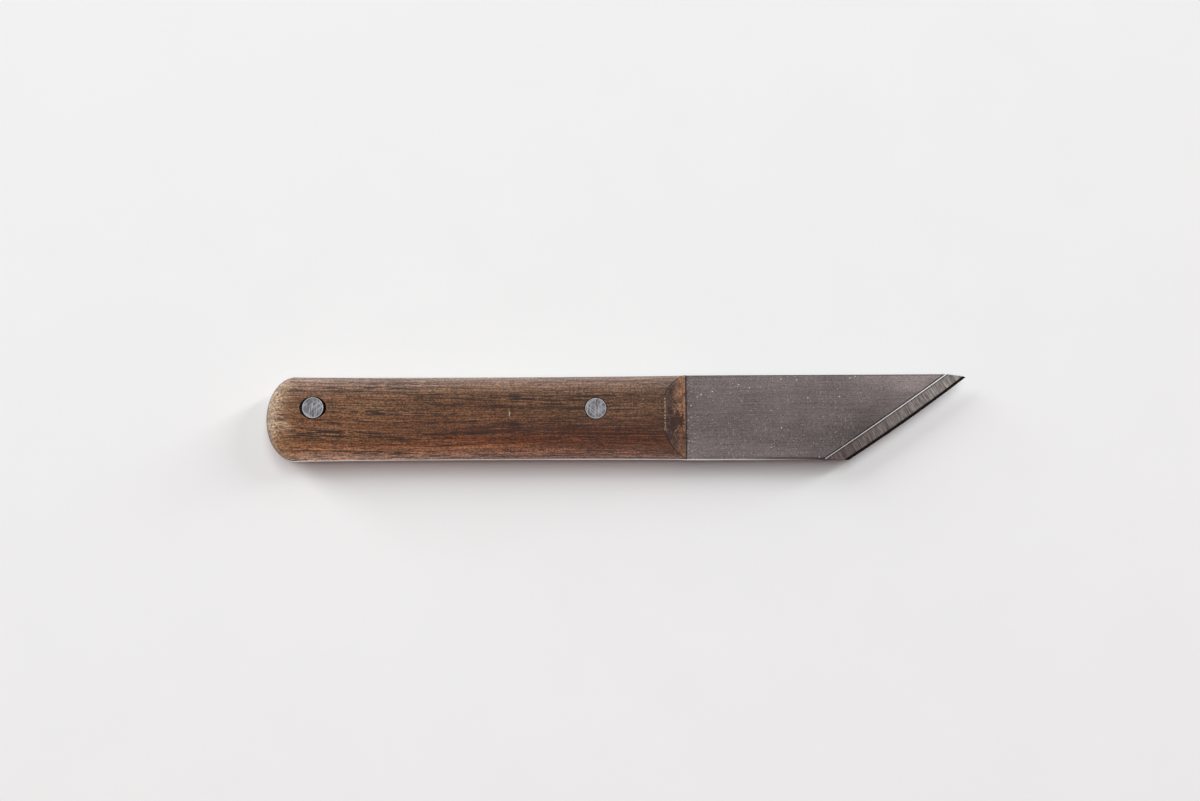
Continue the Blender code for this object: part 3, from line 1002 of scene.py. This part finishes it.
def build_blade():
    """The blade with its finishes, in the order of their places in the list."""
    finishes = [
        blade_flat(),
        bar_side(),
        ground_steel("ground_bevel", *GROUND_BEVEL),
        ground_steel("bright_ridge", *BRIGHT_RIDGE),
        ground_steel("honed_edge", *HONED_EDGE),
    ]
    piece = add_piece("blade_steel_bar", blade_form(), finishes)
    arris = ease_edges(piece, ARRIS)
    arris.limit_method = "WEIGHT"
    arris.material = SIDE
    cutters = cut_bores(piece, BORE_GAP)
    settle(piece, BLADE_SMOOTH_ANGLE, cutters)
    dress(piece, "blade")


def ring(bm, middle, radius, height):
    """A closed row of points round the middle of a pin, or one point where the radius is 0."""
    if radius == 0.0:
        return [bm.verts.new(middle + Vector((0.0, 0.0, height)))]
    points = []
    for step in range(PIN_SIDES):
        turn = 2 * math.pi * step / PIN_SIDES
        out = Vector((radius * math.cos(turn), radius * math.sin(turn), height))
        points.append(bm.verts.new(middle + out))
    return [*points, points[0]]


def build_pin(node, crown):
    """A pin whose ends are rounded at the rim and crowned."""
    low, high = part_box(node)
    middle, radius = pin_place(node)
    half_length = (high.z - low.z) / 2
    profile = []
    for step in range(CROWN_STEPS + 1):
        out = (radius - PIN_RIM) * step / CROWN_STEPS
        profile.append((out, half_length - crown * (out / radius) ** 2))
    corner = profile[-1][1] - PIN_RIM
    for step in range(1, RIM_STEPS + 1):
        turn = math.pi / 2 * step / RIM_STEPS
        profile.append((radius - PIN_RIM + PIN_RIM * math.sin(turn), corner + PIN_RIM * math.cos(turn)))
    profile += [(out, -height) for out, height in reversed(profile)]
    bm = bmesh.new()
    strips(bm, [ring(bm, middle, out, height) for out, height in profile])
    piece = add_piece(node + "_rod", bm, [aluminium(node + "_aluminium", middle, radius)])
    settle(piece, SMOOTH_ANGLE)
    dress(piece, node)


def build_bond(node):
    """The adhesive film, with an uneven bead along the shoulder."""
    low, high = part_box(node)
    half = half_outline(0.0, X_SHOULDER)
    front = []
    for step in range(BEAD_STEPS + 1):
        y = HALF_WIDTH * (1 - 2 * step / BEAD_STEPS)
        uneven = 0.5 + 0.5 * noise.noise(Vector((y * BEAD_WAVES, low.z * BEAD_LEVELS, 0.0)))
        front.append((X_SHOULDER + (high.x - X_SHOULDER) * (BEAD_LEAST + BEAD_SWELL * uneven), y))
    outline = [*front, *((x, -y) for x, y in half), *reversed(half[:-1])]
    bm = bmesh.new()
    upper = [bm.verts.new((x, y, high.z)) for x, y in outline]
    lower = [bm.verts.new((x, y, low.z)) for x, y in outline]
    strip(bm, [*upper, upper[0]], [*lower, lower[0]])
    bm.faces.new(upper)
    bm.faces.new(lower)
    piece = add_piece(node + "_film", bm, [adhesive()])
    cutters = cut_bores(piece, BORE_GAP)
    settle(piece, SMOOTH_ANGLE, cutters)
    dress(piece, node)


def add_floor():
    """The pale surface that the knife lies on."""
    bm = bmesh.new()
    bmesh.ops.create_grid(bm, x_segments=2, y_segments=2, size=FLOOR_REACH)
    floor = add_piece("floor", bm, [floor_finish()])


def add_lamp(name, energy, width, height, azimuth, elevation):
    """A soft box that faces the knife. It is left out of reflections, which show the pale room."""
    turn, tilt = math.radians(azimuth), math.radians(elevation)
    direction = Vector((math.cos(turn) * math.cos(tilt), math.sin(turn) * math.cos(tilt), math.sin(tilt)))
    light = bpy.data.lights.new(name, "AREA")
    light.shape = "RECTANGLE"
    light.size = width
    light.size_y = height
    light.energy = energy
    light.color = LAMP_COLOUR
    lamp = bpy.data.objects.new(name, light)
    lamp.location = direction * LAMP_DISTANCE
    lamp.rotation_euler = (-direction).to_track_quat("-Z", "Y").to_euler()
    lamp.visible_glossy = False
    bpy.context.scene.collection.objects.link(lamp)


def add_world():
    """Dim light from all round, and a pale background for what the camera and reflections see."""
    world = bpy.data.worlds.new("studio")
    world.use_nodes = True
    tree = world.node_tree
    fill = tree.nodes["Background"]
    fill.inputs["Color"].default_value = (*SHADE_COLOUR, 1.0)
    backdrop = tree.nodes.new("ShaderNodeBackground")
    backdrop.inputs["Color"].default_value = (*BACKDROP_COLOUR, 1.0)
    path = tree.nodes.new("ShaderNodeLightPath")
    seen = path.outputs["Is Camera Ray"]
    for kind in ("Is Glossy Ray", "Is Transmission Ray"):
        either = tree.nodes.new("ShaderNodeMath")
        either.operation = "MAXIMUM"
        tree.links.new(seen, either.inputs[0])
        tree.links.new(path.outputs[kind], either.inputs[1])
        seen = either.outputs[0]
    choice = tree.nodes.new("ShaderNodeMixShader")
    tree.links.new(seen, choice.inputs[0])
    tree.links.new(fill.outputs[0], choice.inputs[1])
    tree.links.new(backdrop.outputs[0], choice.inputs[2])
    tree.links.new(choice.outputs[0], tree.nodes["World Output"].inputs["Surface"])
    bpy.context.scene.world = world


def add_camera():
    """The photograph's view: looking down from the edge side, a little off straight down."""
    camera = bpy.data.cameras.new("camera")
    camera.lens = CAMERA_LENS
    eye = bpy.data.objects.new("camera", camera)
    bpy.context.scene.collection.objects.link(eye)
    offset = KNIFE_PIXEL - Vector((PHOTO_WIDTH / 2, PHOTO_HEIGHT / 2))
    aim = KNIFE_MIDDLE + Vector((-offset.x, offset.y / math.sin(CAMERA_ELEVATION), 0.0)) / PIXELS_PER_METRE
    back = Vector((0.0, -math.cos(CAMERA_ELEVATION), math.sin(CAMERA_ELEVATION)))
    distance = PHOTO_WIDTH * CAMERA_LENS / (camera.sensor_width * PIXELS_PER_METRE)
    eye.location = aim + back * distance
    eye.rotation_mode = "QUATERNION"
    eye.rotation_quaternion = (-back).to_track_quat("-Z", "Y") @ Quaternion((0, 0, 1), CAMERA_ROLL)
    bpy.context.scene.camera = eye


def main():
    bpy.context.scene.view_settings.view_transform = "Standard"
    build_scale("upper_scale", SCALE_LOW.z, turned_over=False, seed=UPPER_GRAIN)
    build_scale("lower_scale", LOWER_SCALE_HIGH.z, turned_over=True, seed=LOWER_GRAIN)
    build_blade()
    build_pin("rear_pin", REAR_PIN_CROWN)
    build_pin("front_pin", FRONT_PIN_CROWN)
    build_bond("upper_bond")
    build_bond("lower_bond")
    add_floor()
    for lamp in LAMPS:
        add_lamp(*lamp)
    add_world()
    add_camera()


main()
